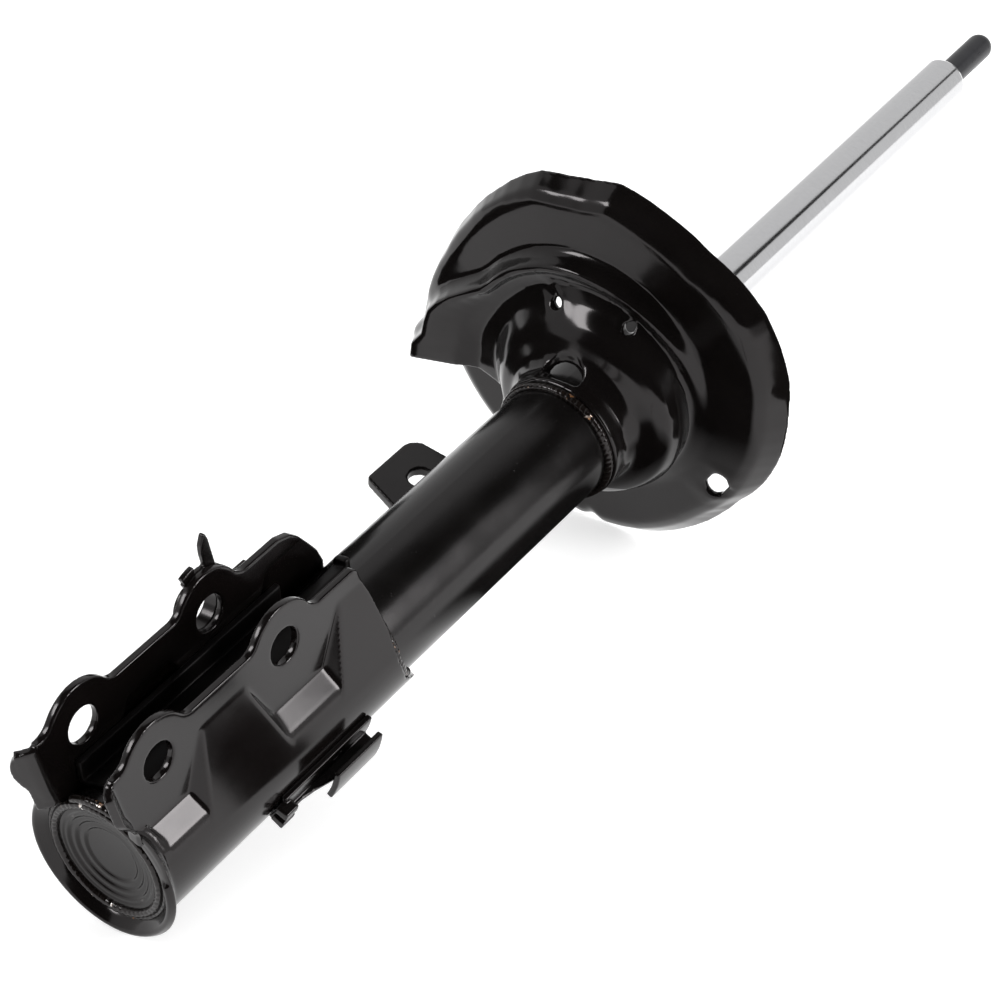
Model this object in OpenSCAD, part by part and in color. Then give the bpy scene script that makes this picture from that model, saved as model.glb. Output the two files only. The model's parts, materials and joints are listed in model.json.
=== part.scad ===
// Twin-tube front strut: body tube, knuckle bracket, spring seat, small brackets, rod and inner valves.
// Z runs up the strut's axis to the rod, X towards the bracket's open side, Y from ear to ear.
// The origin is on the axis, on the middle of the base cap's outer face.

/* [Body tube] */
// outside diameter of the body tube
tube_od = 51; // [49:0.5:53]
// wall of the body tube
tube_wall = 2.5; // [2:0.1:2.8]
// top of the body tube above the base face
tube_top = 356; // [350:1:362]
// how far the tube's lower rim stands below the base face
tube_foot = 3; // [2.5:0.1:3.5]
// width of the lip rolled in over the seal
roll_width = 6; // [4:0.5:8]
// thickness of the rolled lip
roll_wall = 2.5; // [2:0.1:3]

/* [Base cap] */
// radius of the raised middle disc
cap_disc_r = 15.3; // [13:0.1:17]
// radius where the cap's cone meets its flat rim
cap_cone_r = 19; // [18:0.1:21]
// sheet of the base cap
cap_sheet = 3.2; // [2.5:0.1:3.5]
// radius of the weld bead's section at the tube's foot
foot_weld_r = 1.9; // [1.5:0.1:2]
// clearance from the extra bead on the tube's open side to the ears
front_weld_gap = 0.6; // [0.4:0.1:3]

/* [Knuckle bracket] */
// sheet of the knuckle bracket
bracket_sheet = 3.5; // [3:0.1:4]
// gap between the inner faces of the two ears
ear_gap = 31.5; // [29:0.5:34]
// distance of the bolt holes from the tube's axis
bolt_x = 45; // [43:0.5:48]
// height of the lower bolt hole
bolt_low = 12.5; // [11:0.5:14]
// spacing of the two bolt holes
bolt_pitch = 70; // [66:0.5:74]
// diameter of the bolt holes
bolt_d = 15; // [13:0.5:16]
// radius of the ear's lobe round each bolt hole
lobe_r = 18.3; // [17:0.1:19]
// straight front edge of the ears between the lobes
ear_edge = 53.5; // [52:0.1:54.5]
// straight front edge of the ears above the upper lobe
ear_top_edge = 50.8; // [50:0.1:52]
// fillet between a lobe and a straight edge
lobe_fillet = 8; // [6:0.5:10]
// where the pressed bulges run out into the flat ear
bulge_toe = 43; // [41:0.5:44]
// slope of the bulges' end walls
bulge_wall = 55; // [48:1:62]
// distance of the pressed facets from the tube's axis
facet_r = 28.2; // [28:0.1:28.8]
// direction of the pressed facets, from X
facet_angle = 47; // [45:1:50]
// height of the bracket's upper edge at the near ear's front corner
near_top = 126.5; // [124:0.5:129]
// height of the bracket's upper edge behind the tube
back_top = 156; // [150:0.5:160]
// bend of the flared lower lip, down from the bracket's wall
lip_angle = 48; // [42:1:52]
// centre-line radius of the lip's bend
lip_bend = 5; // [4.5:0.1:6]
// straight length of the lip past its bend
lip_straight = 4; // [3:0.1:5]
// depth of the two locating dimples
dimple_depth = 1.2; // [0.8:0.1:1.6]
// gap between the bracket's wrap and the tube
wrap_gap = 0.1; // [0.05:0.01:0.2]

/* [Closing plate] */
// sheet of the closing plate
closing_sheet = 3; // [2.5:0.1:3.2]
// lower end of the closing plate
closing_low = 5; // [3:0.5:8]
// upper end of the tongue above the closing plate's web
closing_high = 147; // [143:0.5:150]
// upper end of the web and of its flanges along the ears
closing_flange_top = 118; // [100:1:122]
// how far forward its flanges reach along the ears
closing_reach = 34; // [32:0.5:36]
// how far the tongue's turned-out end stands off the tube
closing_rim = 6; // [5:0.5:7]
// width of the tongue
tongue_width = 6.5; // [5:0.1:8]
// distance of the tongue's middle from the strut's middle plane, towards the far ear
tongue_off = 5.4; // [4:0.1:6.5]

/* [Spring seat] */
// bottom of the seat's collar
seat_low = 281; // [275:0.5:286]
// sheet of the seat's collar
seat_sheet = 3; // [2.8:0.1:3.2]
// sideways shift of the spring's centre line, along X
seat_shift_x = 10; // [6:0.5:11]
// sideways shift of the spring's centre line, along Y
seat_shift_y = -8; // [-9:0.5:-5]
// rise of the helical pan in a full turn
seat_pitch = 12; // [8:0.5:14]
// scale of the rim's outline
seat_rim = 1; // [0.96:0.01:1.04]
// height of the rim above the collar's bottom
seat_height = 48; // [46:0.5:50]
// radius of the pressed bead round the hub
bead_r = 52; // [51:0.5:54]
// radius where the pan's floor turns up into the rim
pan_r = 77; // [75:0.5:78]
// depth of the pressed bead between hub and pan
seat_bead = 6; // [4:0.5:7]
// diameter of the two round holes in the hub
hub_hole_d = 5; // [4:0.5:6]
// length of the drain slot in the pan
drain_length = 13; // [10:0.5:15]
// width of the drain slot in the pan
drain_width = 9; // [7:0.5:10]
// width of the arched window in the hub
arch_width = 19; // [16:0.5:21]
// height of the arched window in the hub
arch_height = 10; // [8:0.5:11]

/* [Link bracket] */
// thickness of the link tab
link_sheet = 4.5; // [4:0.1:5]
// distance of the link tab's front face behind the tube's axis
link_back = 12; // [10:0.5:14]
// turn of the link tab about the axis
link_turn = 10; // [6:1:14]
// outer end of the link tab from the axis
link_reach = 54; // [51:0.5:57]
// distance of the link hole from the axis
link_hole_s = 37; // [36:0.5:38.5]
// height of the link hole
link_hole_z = 236.3; // [234:0.1:238]
// diameter of the link hole
link_hole_d = 10.5; // [10:0.1:12]
// height of the link tab's upper edge
link_top = 253.5; // [251:0.5:257]
// height of the link tab's lower outer corner
link_corner = 222; // [219:0.5:224]
// height of the link tab's lower edge at the tube
link_low = 208; // [204:0.5:212]

/* [Small brackets] */
// sheet of the hose and wire brackets
clip_sheet = 2.5; // [2:0.1:3]
// lower end of the hose bracket
hose_low = 60; // [55:0.5:62]
// upper end of the hose bracket
hose_high = 112; // [106:0.5:116]
// radius of the hose bracket's outer leaf
hose_leaf_r = 40.5; // [39.5:0.5:43]
// height of the hose bracket's outer leaf
hose_leaf_h = 27; // [22:1:30]
// length of the finger that stands off the wire bracket
wire_reach = 17; // [14:0.5:20]
// length of the wire bracket's collar round the upper bolt hole
collar_h = 6.4; // [4:0.1:8]
// wall of that collar
collar_wall = 1.8; // [1.4:0.1:2.4]

/* [Rod] */
// rod diameter
rod_d = 22; // [20:0.5:22]
// height of the rod's shoulder with the strut extended
rod_shoulder = 612; // [600:1:625]
// length of the stud above the shoulder
stud_length = 33.5; // [30:0.5:36]
// diameter of the stud
stud_d = 11.8; // [11.8:0.1:12]
// wall of the stud's cover
cover_wall = 0.4; // [0.3:0.05:0.6]
// diameter of the shank that carries the piston
shank_d = 12; // [11:0.5:13]
// length of the shank
shank_length = 44; // [43:0.5:48]

/* [Piston] */
// bore of the pressure tube
bore_d = 32; // [31:0.5:33]
// wall of the pressure tube
pressure_wall = 1.5; // [1.2:0.1:1.8]
// length of the piston
piston_length = 20; // [18:0.5:22]
// height of the piston band
band_height = 14; // [12:0.5:15]
// thickness of the piston band
band_wall = 1.35; // [1.2:0.05:1.6]
// radial clearance of the sliding pieces
run_gap = 0.05; // [0.03:0.01:0.08]
// lift of the piston's check plate
check_lift = 0.9; // [0.6:0.1:1.2]
// distance from the piston's top to the rebound ring
rebound_rise = 46; // [40:1:52]
// height of the rebound ring
rebound_ring_h = 8; // [6:0.5:10]
// height of the rebound bumper
bumper_h = 7.7; // [6:0.1:9]

/* [Base valve and guide] */
// height of the base valve's body
base_valve_h = 12; // [11:0.5:13]
// lift of the intake plate
intake_lift = 1; // [0.7:0.1:1.2]
// height of the rod guide's flange
guide_flange_h = 16; // [14:0.5:18]
// height of the rod guide's spigot in the pressure tube
guide_spigot_h = 8; // [6:0.5:10]
// thickness of the rod seal
seal_h = 5; // [4:0.5:6]
// thickness of the washer over the seal
washer_h = 2.4; // [2:0.1:2.6]

/* [Hidden] */
$fn = 96;
tube_r = tube_od / 2;
tube_in = tube_r - tube_wall;
wrap_in = tube_r + wrap_gap;
wrap_out = wrap_in + bracket_sheet;
ear_in = ear_gap / 2;
ear_out = ear_in + bracket_sheet;
bolt_high = bolt_low + bolt_pitch;
lip_start = 0.5;
front_weld_r = tube_r + 0.9;
front_weld_half = asin((ear_in - front_weld_gap) / (front_weld_r + foot_weld_r));
rod_r = rod_d / 2;
stud_r = stud_d / 2;
root_r = stud_r + cover_wall + 0.1;
root_h = 0.8;
shank_r = shank_d / 2;
bore_r = bore_d / 2;
pressure_out = bore_r + pressure_wall;
rub = 0.05;
// how deep one pressed form sinks into the next where they run together
sink = 0.04;

// inner stack, from the rolled lip down to the pressure tube
washer_top = tube_top - roll_wall;
seal_top = washer_top - washer_h;
guide_top = seal_top - seal_h;
guide_face = guide_top - guide_flange_h;
guide_low = guide_face - guide_spigot_h;

// rod stack, from the rebound bumper down to the nut
bumper_top = guide_low - 0.3;
ring_top = bumper_top - bumper_h;
ring_low = ring_top - rebound_ring_h;
piston_top = ring_low - rebound_rise;
piston_low = piston_top - piston_length;
check_sheet = 1.2;
check_low = piston_top + rub;
stop_low = check_low + check_sheet + check_lift + rub;
stop_h = 4;
shank_top = stop_low + stop_h;
shank_low = shank_top - shank_length;
discs_h = 2.8;
nut_top = piston_low - discs_h;
nut_h = 10;
band_low = piston_low + (piston_length - band_height) / 2;
groove_r = bore_r - run_gap - band_wall;

// base valve stack, up from the base cap
valve_foot = cap_sheet + rub;
valve_top = valve_foot + base_valve_h;
valve_step = valve_top - 6;
intake_sheet = 1;
intake_low = valve_top + rub;
intake_top = intake_low + intake_sheet;
pin_head_low = intake_top + intake_lift + 2;
pin_r = 4;

// outline of the seat's rim: angle about the spring's centre line, radius
rim_points = [
  [-101, 90], [-92, 87], [-82, 87], [-66, 83.2], [-50, 83], [-35, 85], [-17, 89.4], [-8, 88.2], [0, 88.8],
  [8, 91.9], [22, 90.1], [37, 89.4], [47, 92], [58, 94], [78, 92.5], [88, 89.9], [104, 88.3], [117, 87],
  [130, 84.8], [142, 86.5], [157, 90.4], [170, 94.4], [182, 96.8], [186, 94], [189, 97.6], [200, 97.5],
  [225, 89], [245, 90.5], [256, 91]
];
// how far the seat's bead swings out to end in the spring's stop: angle, shift
bead_points = [[-101, 33], [-95, 29.5], [-92, 24], [-82, 20.5], [-76, 16], [-67, 8], [-57, 1.5], [-50, 0]];

function lerp(a, b, t) = a + (b - a) * t;
function smooth(t) = let (u = min(1, max(0, t))) u * u * (3 - 2 * u);

// ring or bushing between two radii
module ring(inner, outer, low, high) {
  translate([0, 0, low])
    difference() {
      cylinder(r = outer, h = high - low);
      translate([0, 0, -1])
        cylinder(r = inner, h = high - low + 2);
    }
}

// a flat outline in X and Z made into a plate between two Y values
module along_y(from, to) {
  translate([0, to, 0])
    rotate([90, 0, 0])
      linear_extrude(to - from)
        children();
}

module mirrored_y() {
  children();
  mirror([0, 1, 0])
    children();
}

// ---------- body tube ----------

module outer_tube() {
  color([0.30, 0.30, 0.31])
    union() {
      ring(tube_in, tube_r, -tube_foot, tube_top);
      ring(tube_in - roll_width, tube_in + 0.5, washer_top, tube_top);
    }
}

module base_cap() {
  edge = tube_in - rub;
  color([0.27, 0.27, 0.28])
    rotate_extrude()
      polygon([
        [0, 0], [cap_disc_r, 0], [cap_cone_r, -tube_foot], [edge, -tube_foot],
        [edge, cap_sheet - tube_foot], [cap_cone_r + 1, cap_sheet - tube_foot],
        [cap_disc_r + 1, cap_sheet], [0, cap_sheet]
      ]);
}

module base_weld() {
  bead_r = tube_r - 1.2;
  color([0.22, 0.22, 0.23])
    union() {
      rotate_extrude()
        intersection() {
          translate([bead_r, -tube_foot - rub])
            circle(foot_weld_r, $fn = 32);
          translate([bead_r - 5, -tube_foot - rub - 5])
            square([10, 5]);
        }
      rotate([0, 0, -front_weld_half])
        rotate_extrude(angle = 2 * front_weld_half)
          difference() {
            translate([front_weld_r, -tube_foot + 0.4])
              circle(foot_weld_r, $fn = 32);
            translate([0, -20])
              square([tube_r + rub, 40]);
          }
    }
}

// ---------- knuckle bracket ----------

// plan of the pressed U: circle round the tube, cut by its facets, and a straight slot for the ears
module u_plan(radius, half, facet) {
  intersection() {
    circle(radius);
    rotate(facet_angle)
      translate([-100, -100])
        square([100 + facet, 200]);
    rotate(-facet_angle)
      translate([-100, -100])
        square([100 + facet, 200]);
  }
  translate([0, -half])
    square([80, 2 * half]);
}

// bulge pressed out of an ear: a sloped face that runs into the wrap, with sloped end walls.
// low and high hold the bulge's ends at the toe and at the wrap.
module bulge(toe, base, radius, low, high) {
  reach = radius - sink;
  lean = atan2(base, toe) + acos(reach / norm([toe, base]));
  in_x = reach * cos(lean);
  in_y = reach * sin(lean);
  run = (in_y - base) / tan(bulge_wall);
  deep = base - 2;
  points = [
    [toe, deep, low[0]], [toe, deep, high[0]], [in_x, deep, low[1]], [in_x, deep, high[1]],
    [toe, base, low[0]], [toe, base, high[0]], [in_x, base, low[1]], [in_x, base, high[1]],
    [in_x, in_y, low[1] + run], [in_x, in_y, high[1] - run]
  ];
  polyhedron(points, [
    [0, 2, 3, 1], [0, 1, 5, 4], [0, 4, 6, 2], [4, 8, 6], [3, 7, 5, 1],
    [7, 9, 5], [4, 5, 9, 8], [8, 9, 7, 3, 2, 6]
  ]);
}

// the bulges of one ear, on its outer or on its inner face
module ear_bulges(face, radius, shrink) {
  toe = bulge_toe - (shrink > 0 ? 0.4 : 0);
  middle = (bolt_low + bolt_high) / 2;
  bulge(toe, face, radius, [middle - 13 + shrink, middle - 30 + shrink],
        [middle + 12 - shrink, middle + 31 - shrink]);
  bulge(toe, face, radius, [bolt_high + 31 + shrink, bolt_high + 11 + shrink],
        [back_top + 30, back_top + 30]);
}

module u_solid(radius, half, facet, shrink) {
  translate([0, 0, -14])
    linear_extrude(back_top + 20)
      u_plan(radius, half, facet);
  mirrored_y()
    ear_bulges(half, radius, shrink);
}

// fillet between a lobe and a straight edge, in X and Z; up is 1 above the lobe, -1 below
module lobe_corner(edge, centre, size, up) {
  away = edge + size - sink - bolt_x;
  span = lobe_r + size - sink;
  rise = sqrt(span * span - away * away);
  f = [bolt_x + away, centre + up * rise];
  meet = [bolt_x, centre] + (f - [bolt_x, centre]) * (lobe_r - sink / 2) / span;
  difference() {
    polygon([[edge - 1, f[1]], [edge - 1, centre], meet, [f[0], f[1]]]);
    translate(f)
      circle(size);
  }
}

// outline shared by both ears below the upper edge, in X and Z
module ear_front() {
  for (centre = [bolt_low, bolt_high])
    translate([bolt_x, centre])
      circle(lobe_r);
  lobe_corner(ear_edge, bolt_low, lobe_fillet, 1);
  lobe_corner(ear_edge, bolt_high, lobe_fillet, -1);
  lobe_corner(ear_top_edge, bolt_high, lobe_fillet, 1);
  lobe_corner(ear_edge - 0.5, bolt_low, lobe_fillet + 2, -1);
}

// where the ears' flat wall turns into the lower lip
lip_line = [[21.5, -4.2], [ear_edge - 0.5, -10]];

module near_outline() {
  ear_front();
  polygon([
    [-50, lip_start], [15, lip_start], lip_line[0], lip_line[1], [ear_edge - 0.5, 0],
    [ear_edge, bolt_low], [ear_edge, bolt_high], [ear_top_edge, bolt_high],
    [ear_top_edge, near_top - 2], [ear_top_edge - 2, near_top], [36, near_top + 3.8], [20, near_top + 6.5],
    [2, near_top + 7], [-9, near_top + 11], [-17.5, near_top + 21], [-24, back_top - 2],
    [-30, back_top], [-50, back_top]
  ]);
}

module far_outline() {
  ear_front();
  polygon([
    [-50, lip_start], [15, lip_start], lip_line[0], lip_line[1], [ear_edge - 0.5, 0],
    [ear_edge, bolt_low], [ear_edge, bolt_high], [ear_top_edge, bolt_high],
    [ear_top_edge, near_top - 3], [ear_top_edge - 2.4, near_top + 4], [44.5, near_top + 8.3],
    [35.4, near_top + 15.4], [27, near_top + 21.7], [16.5, back_top - 2], [8, back_top],
    [-50, back_top]
  ]);
}

module side_shape(lift) {
  translate([0, 0, lift]) {
    along_y(0.5, 60)
      near_outline();
    along_y(-60, -0.5)
      far_outline();
    translate([-50, -1, lip_start])
      cube([30, 2, back_top - lip_start]);
  }
}

// section of the flared lip: a sheet that bends outwards, its wall centre at zero and going up
module lip_section(above) {
  half = bracket_sheet / 2 - sink / 2;
  lap = 0.3;
  down = [sin(lip_angle), -cos(lip_angle)];
  side = half * [cos(lip_angle), sin(lip_angle)];
  turn = [lip_bend * (1 - cos(lip_angle)), -lip_bend * sin(lip_angle)];
  start = turn - lap * down;
  end = turn + lip_straight * down;
  translate([-half, -lap])
    square([2 * half, above + lap]);
  intersection() {
    translate([lip_bend, 0])
      difference() {
        circle(lip_bend + half - sink);
        circle(lip_bend - half + sink);
      }
    polygon([
      [lip_bend, 0], [-half - 1, 0], [-half - 1, -lip_bend - 4],
      [lip_bend, 0] - (lip_bend + half + 6) * [cos(lip_angle), sin(lip_angle)]
    ]);
  }
  polygon([start - side, end - side, end + side, start + side]);
}

module lips() {
  spread = 48;
  translate([0, 0, lip_start])
    rotate([0, 0, spread])
      rotate_extrude(angle = 360 - 2 * spread)
        translate([(wrap_in + wrap_out) / 2, 0])
          lip_section(1.1);
  run = lip_line[1] - lip_line[0];
  fall = atan2(run[1], run[0]);
  mirrored_y()
    translate([lip_line[0][0], (ear_in + ear_out) / 2, lip_line[0][1]])
      rotate([0, -fall, 0])
        rotate([90, 0, 90])
          linear_extrude(norm(run) - 1)
            lip_section(1.5);
}

module knuckle_bracket() {
  color([0.20, 0.19, 0.19])
    difference() {
      union() {
        difference() {
          intersection() {
            u_solid(wrap_out, ear_out, facet_r, 0);
            side_shape(0);
          }
          u_solid(wrap_in, ear_in, wrap_in, 1.8);
        }
        lips();
      }
      for (height = [bolt_low, bolt_high])
        translate([bolt_x, -50, height])
          rotate([-90, 0, 0])
            cylinder(d = bolt_d, h = 100);
      translate([35.6, -ear_in - dimple_depth, (bolt_low + bolt_high) / 2 - 2.3])
        rotate([-90, 0, 0])
          cylinder(d = 6, h = dimple_depth + 1);
      translate([18, 19, (bolt_low + bolt_high) / 2 + 7])
        rotate([-90, 0, -14])
          translate([0, 0, 6.4])
            cylinder(d = 5, h = 6);
    }
}

// curved web on the tube's open side, flanges along the ears and a tongue with a turned-out end
module closing_plate() {
  inner = wrap_in;
  outer = inner + closing_sheet;
  flange = ear_in - 0.1;
  root = sqrt(outer * outer - flange * flange) - 0.8;
  tongue = [root, -tongue_off - tongue_width / 2];
  color([0.18, 0.17, 0.17])
    difference() {
      union() {
        translate([0, 0, closing_low])
          linear_extrude(closing_flange_top - closing_low) {
            intersection() {
              circle(outer);
              translate([root, -flange])
                square([20, 2 * flange]);
            }
            for (low = [-flange, flange - closing_sheet])
              translate([root, low])
                square([closing_reach - root, closing_sheet]);
          }
        translate([0, 0, closing_flange_top - 1])
          linear_extrude(closing_high - closing_flange_top + 1)
            intersection() {
              circle(outer);
              translate(tongue)
                square([20, tongue_width]);
            }
        translate([0, 0, closing_high - closing_sheet])
          linear_extrude(closing_sheet)
            intersection() {
              circle(tube_r + closing_rim);
              translate(tongue)
                square([20, tongue_width]);
            }
      }
      translate([0, 0, closing_low - 1])
        cylinder(r = inner, h = closing_high);
    }
}

// bead that runs along the bracket's upper edge on the tube, on the ears' outer sides only
module bracket_weld() {
  bead = 2.2;
  toe = 22;
  shoulder = 12;
  side = 21;
  low = near_top - 30;
  height = back_top + 10 - low;
  color([0.16, 0.16, 0.16])
    difference() {
      intersection() {
        ring(tube_r + rub, wrap_out - 0.6, low, back_top + 10);
        side_shape(bead);
        translate([-40, -40, 0])
          cube([40 + toe, 80, 200]);
      }
      side_shape(rub);
      translate([0, -ear_in, 0])
        cube([40, 2 * ear_in, 200]);
      mirrored_y()
        translate([shoulder, -side - 9, low - 1])
          cube([20, 9, height + 2]);
    }
}

// ---------- spring seat ----------

function hub(share) = lerp(tube_r, bead_r, share);

// rows of the seat's section, hub to rim: under radius, under height, upper radius, upper height,
// and how far the row follows the spring's centre line
function seat_hub_rows() = [
  [tube_r + 0.1 + seat_sheet, 0, tube_r + 0.1, 0, 0],
  [tube_r + 0.2 + seat_sheet, 8.5, tube_r + 0.1, 10, 0],
  [hub(0.28), 13.3, hub(0.2), 15.8, 0],
  [hub(0.55), 16.6, hub(0.51), 19.4, 0],
  [hub(0.73), 20, hub(0.65), 22.3, 0],
  [hub(0.83), 26.5, hub(0.73), 28.3, 0.3],
  [hub(0.91), 31, hub(0.83), 33.4, 0.7]
];
// rows of the bead where it is flat and where it is pressed, their radii from the bead's own radius
function seat_plain_rows() = [
  [0, 32.6, -1.2, 35.4], [2, 33.7, 1.2, 36.6], [4, 34.6, 3.3, 37.5], [6, 35.4, 5.4, 38.3], [8, 36, 7.4, 38.9]
];
function seat_bead_rows() = [
  [-1, 33 - seat_bead * 0.43, -1.7, 33.6], [1, 33 - seat_bead, 0.6, 36.4 - seat_bead],
  [3.6, 33.4 - seat_bead, 2.6, 36.6 - seat_bead], [5.8, 33, 3.6, 34.9], [8, 36, 6.4, 38.8]
];
function bead_share(angle) = 1 - smooth((angle - 20) / 80);
function bead_swing(angle) = angle > -50 ? 0 : lookup(angle, bead_points);

// one station of the seat: [under radius and height, upper radius and height, shift] of every row
function seat_station(angle) =
  let (
    tall = seat_height / 48,
    tight = pow(max(0, cos(angle - 141)), 2),
    share = bead_share(angle),
    swing = bead_swing(angle),
    base = seat_low + seat_pitch * (angle - 40) / 360,
    rim = seat_rim * lookup(angle, rim_points),
    plain = seat_plain_rows(),
    bead = seat_bead_rows(),
    hub_rows = [for (i = [0:6])
      let (
        row = seat_hub_rows()[i],
        k = 1 - tight * (i < 2 ? 0 : i < 5 ? 0.15 : 0.05),
        out = swing * (i < 4 ? 0 : i < 6 ? -0.05 : 0.2),
        floor_z = lerp(seat_low, base, row[4])
      )
      [row[0] * k + out, row[1] * tall + floor_z, row[2] * k + out, row[3] * tall + floor_z, row[4]]],
    mid_rows = [for (i = [0:4])
      let (
        row = lerp(plain[i], bead[i], share),
        out = bead_r + swing * (i == 0 ? 0.33 : 1),
        floor_z = base - swing * (i == 0 ? 0.1 : 0)
      )
      [row[0] + out, row[1] * tall + floor_z, row[2] + out, row[3] * tall + floor_z, 1]],
    edge = mid_rows[4][0],
    crease = rim - lerp(3, 7, smooth((angle + 50) / 80)),
    r2 = max(pan_r + 3, crease, edge + 2.5),
    r1 = max(r2 - 4.5, edge + 1),
    r3 = max(rim, r2 + 1.5),
    pan_rows = [
      [r1, 37 * tall + base, r1 - 0.6, 40 * tall + base, 1],
      [r2, 39.5 * tall + base, r2 - 2.1, 41.8 * tall + base, 1],
      [r3, 48 * tall + base, r3 - 2.6, 49.6 * tall + base, 1]
    ]
  )
  concat(hub_rows, mid_rows, pan_rows);

function seat_ring(angle) =
  let (rows = seat_station(angle), n = len(rows))
  concat(
    [for (i = [0:n - 1]) seat_point(rows[i][0], rows[i][1], rows[i][4], angle)],
    [for (i = [n - 1:-1:0]) seat_point(rows[i][2], rows[i][3], rows[i][4], angle)]
  );
function seat_point(radius, height, share, angle) =
  [share * seat_shift_x + radius * cos(angle), share * seat_shift_y + radius * sin(angle), height];

// stations of the seat: every corner of its outline, and steps of at most seat_step between them
seat_step = 6;
seat_angles = [
  for (i = [0:len(rim_points) - 2])
    let (
      from = rim_points[i][0],
      to = rim_points[i + 1][0],
      parts = ceil((to - from) / seat_step)
    )
    for (k = [0:parts - 1]) lerp(from, to, k / parts),
  rim_points[len(rim_points) - 1][0]
];

module seat_shell() {
  rings = [for (angle = seat_angles) seat_ring(angle)];
  count = len(rings);
  loop = len(rings[0]);
  points = [for (r = rings) each r];
  faces = [for (j = [0:count - 1], k = [0:loop - 1])
    let (
      a = j * loop + k,
      b = j * loop + (k + 1) % loop,
      c = ((j + 1) % count) * loop + k,
      d = ((j + 1) % count) * loop + (k + 1) % loop
    )
    each [[a, b, c], [b, d, c]]];
  polyhedron(points, faces);
}

module spring_seat() {
  sill = seat_low + 4;
  spring_line = sill + arch_height * 0.4;
  arch_turn = -3;
  hole_spots = [[47.7, -15], [46, 19]];
  drain_turn = 124;
  drain_r = (bead_r + 8 + pan_r + 3) / 2 + 2.4;
  color([0.42, 0.42, 0.44])
    difference() {
      seat_shell();
      rotate([0, 0, arch_turn])
        translate([tube_r - 1, -arch_width / 2, sill])
          cube([26, arch_width, spring_line - sill]);
      rotate([0, 0, arch_turn])
        translate([tube_r - 1, 0, spring_line])
          rotate([0, 90, 0])
            linear_extrude(26)
              arch_head();
      for (spot = hole_spots)
        translate([spot[0], spot[1], seat_low])
          cylinder(d = hub_hole_d, h = 60, $fn = 24);
      translate([seat_shift_x, seat_shift_y, seat_low + 25])
        rotate([0, 0, drain_turn])
          translate([drain_r, 0, 0])
            linear_extrude(40)
              drain_slot();
    }
}

// round head of the arched window; minus X is up
module arch_head() {
  rise = arch_height * 0.6;
  intersection() {
    scale([2 * rise / arch_width, 1])
      circle(d = arch_width);
    translate([-arch_width, -arch_width])
      square([arch_width, 2 * arch_width]);
  }
}

module drain_slot() {
  half = (drain_length - drain_width) / 2;
  for (side = [-1, 1])
    translate([0, side * half])
      circle(d = drain_width, $fn = 32);
  translate([-drain_width / 2, -half])
    square([drain_width, 2 * half]);
}

module seat_weld() {
  color([0.20, 0.20, 0.20])
    rotate_extrude()
      difference() {
        translate([tube_r + 0.6, seat_low - 1.8])
          circle(2.1, $fn = 32);
        translate([0, seat_low - 20])
          square([tube_r + rub, 40]);
        translate([0, seat_low - rub])
          square([60, 20]);
      }
}

// ---------- link bracket ----------

// frame of the link tab: X out along the tab, Y up, Z forward from its back face
module link_frame(back) {
  multmatrix([
    [sin(link_turn), 0, cos(link_turn), 0],
    [-cos(link_turn), 0, sin(link_turn), 0],
    [0, 1, 0, 0],
    [0, 0, 0, 1]
  ])
    translate([0, 0, back])
      children();
}

module link_bracket() {
  slant = (link_corner - link_low) * 0.45;
  color([0.24, 0.24, 0.25])
    difference() {
      link_frame(-link_back - link_sheet)
        linear_extrude(link_sheet)
          difference() {
            polygon([
              [12, link_low], [36, link_corner - slant], [link_reach - 1.5, link_corner - 0.5],
              [link_reach, link_corner + 1], [link_reach, link_top - 6],
              [link_reach - 1.5, link_top - 2.5], [link_reach - 5, link_top], [12, link_top]
            ]);
            translate([link_hole_s, link_hole_z])
              circle(d = link_hole_d);
          }
      translate([0, 0, link_low - 10])
        cylinder(r = tube_r + 0.1, h = 80);
    }
}

module link_weld() {
  front = sqrt(tube_r * tube_r - link_back * link_back);
  rear = sqrt(tube_r * tube_r - (link_back + link_sheet) * (link_back + link_sheet));
  low = link_low + 3;
  color([0.17, 0.17, 0.17])
    difference() {
      union() {
        link_frame(0)
          translate([front + 0.3, low, -link_back + 0.2])
            rotate([-90, 0, 0])
              cylinder(r = 2.3, h = link_top - low - 2, $fn = 32);
        link_frame(0)
          translate([rear + 0.6, low, -link_back - link_sheet - 0.2])
            rotate([-90, 0, 0])
              cylinder(r = 2.3, h = link_top - low - 2, $fn = 32);
      }
      translate([0, 0, link_low - 10])
        cylinder(r = tube_r + rub, h = 80);
      link_frame(-link_back - link_sheet - rub)
        translate([5, link_low - 20])
          cube([60, 90, link_sheet + 2 * rub]);
    }
}

// ---------- hose and wire brackets ----------

// piece of a ring wall between two angles
module ring_part(inner, outer, low, high, span) {
  translate([0, 0, low])
    rotate([0, 0, span[0]])
      rotate_extrude(angle = span[1] - span[0])
        translate([inner, 0])
          square([outer - inner, high - low]);
}

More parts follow.
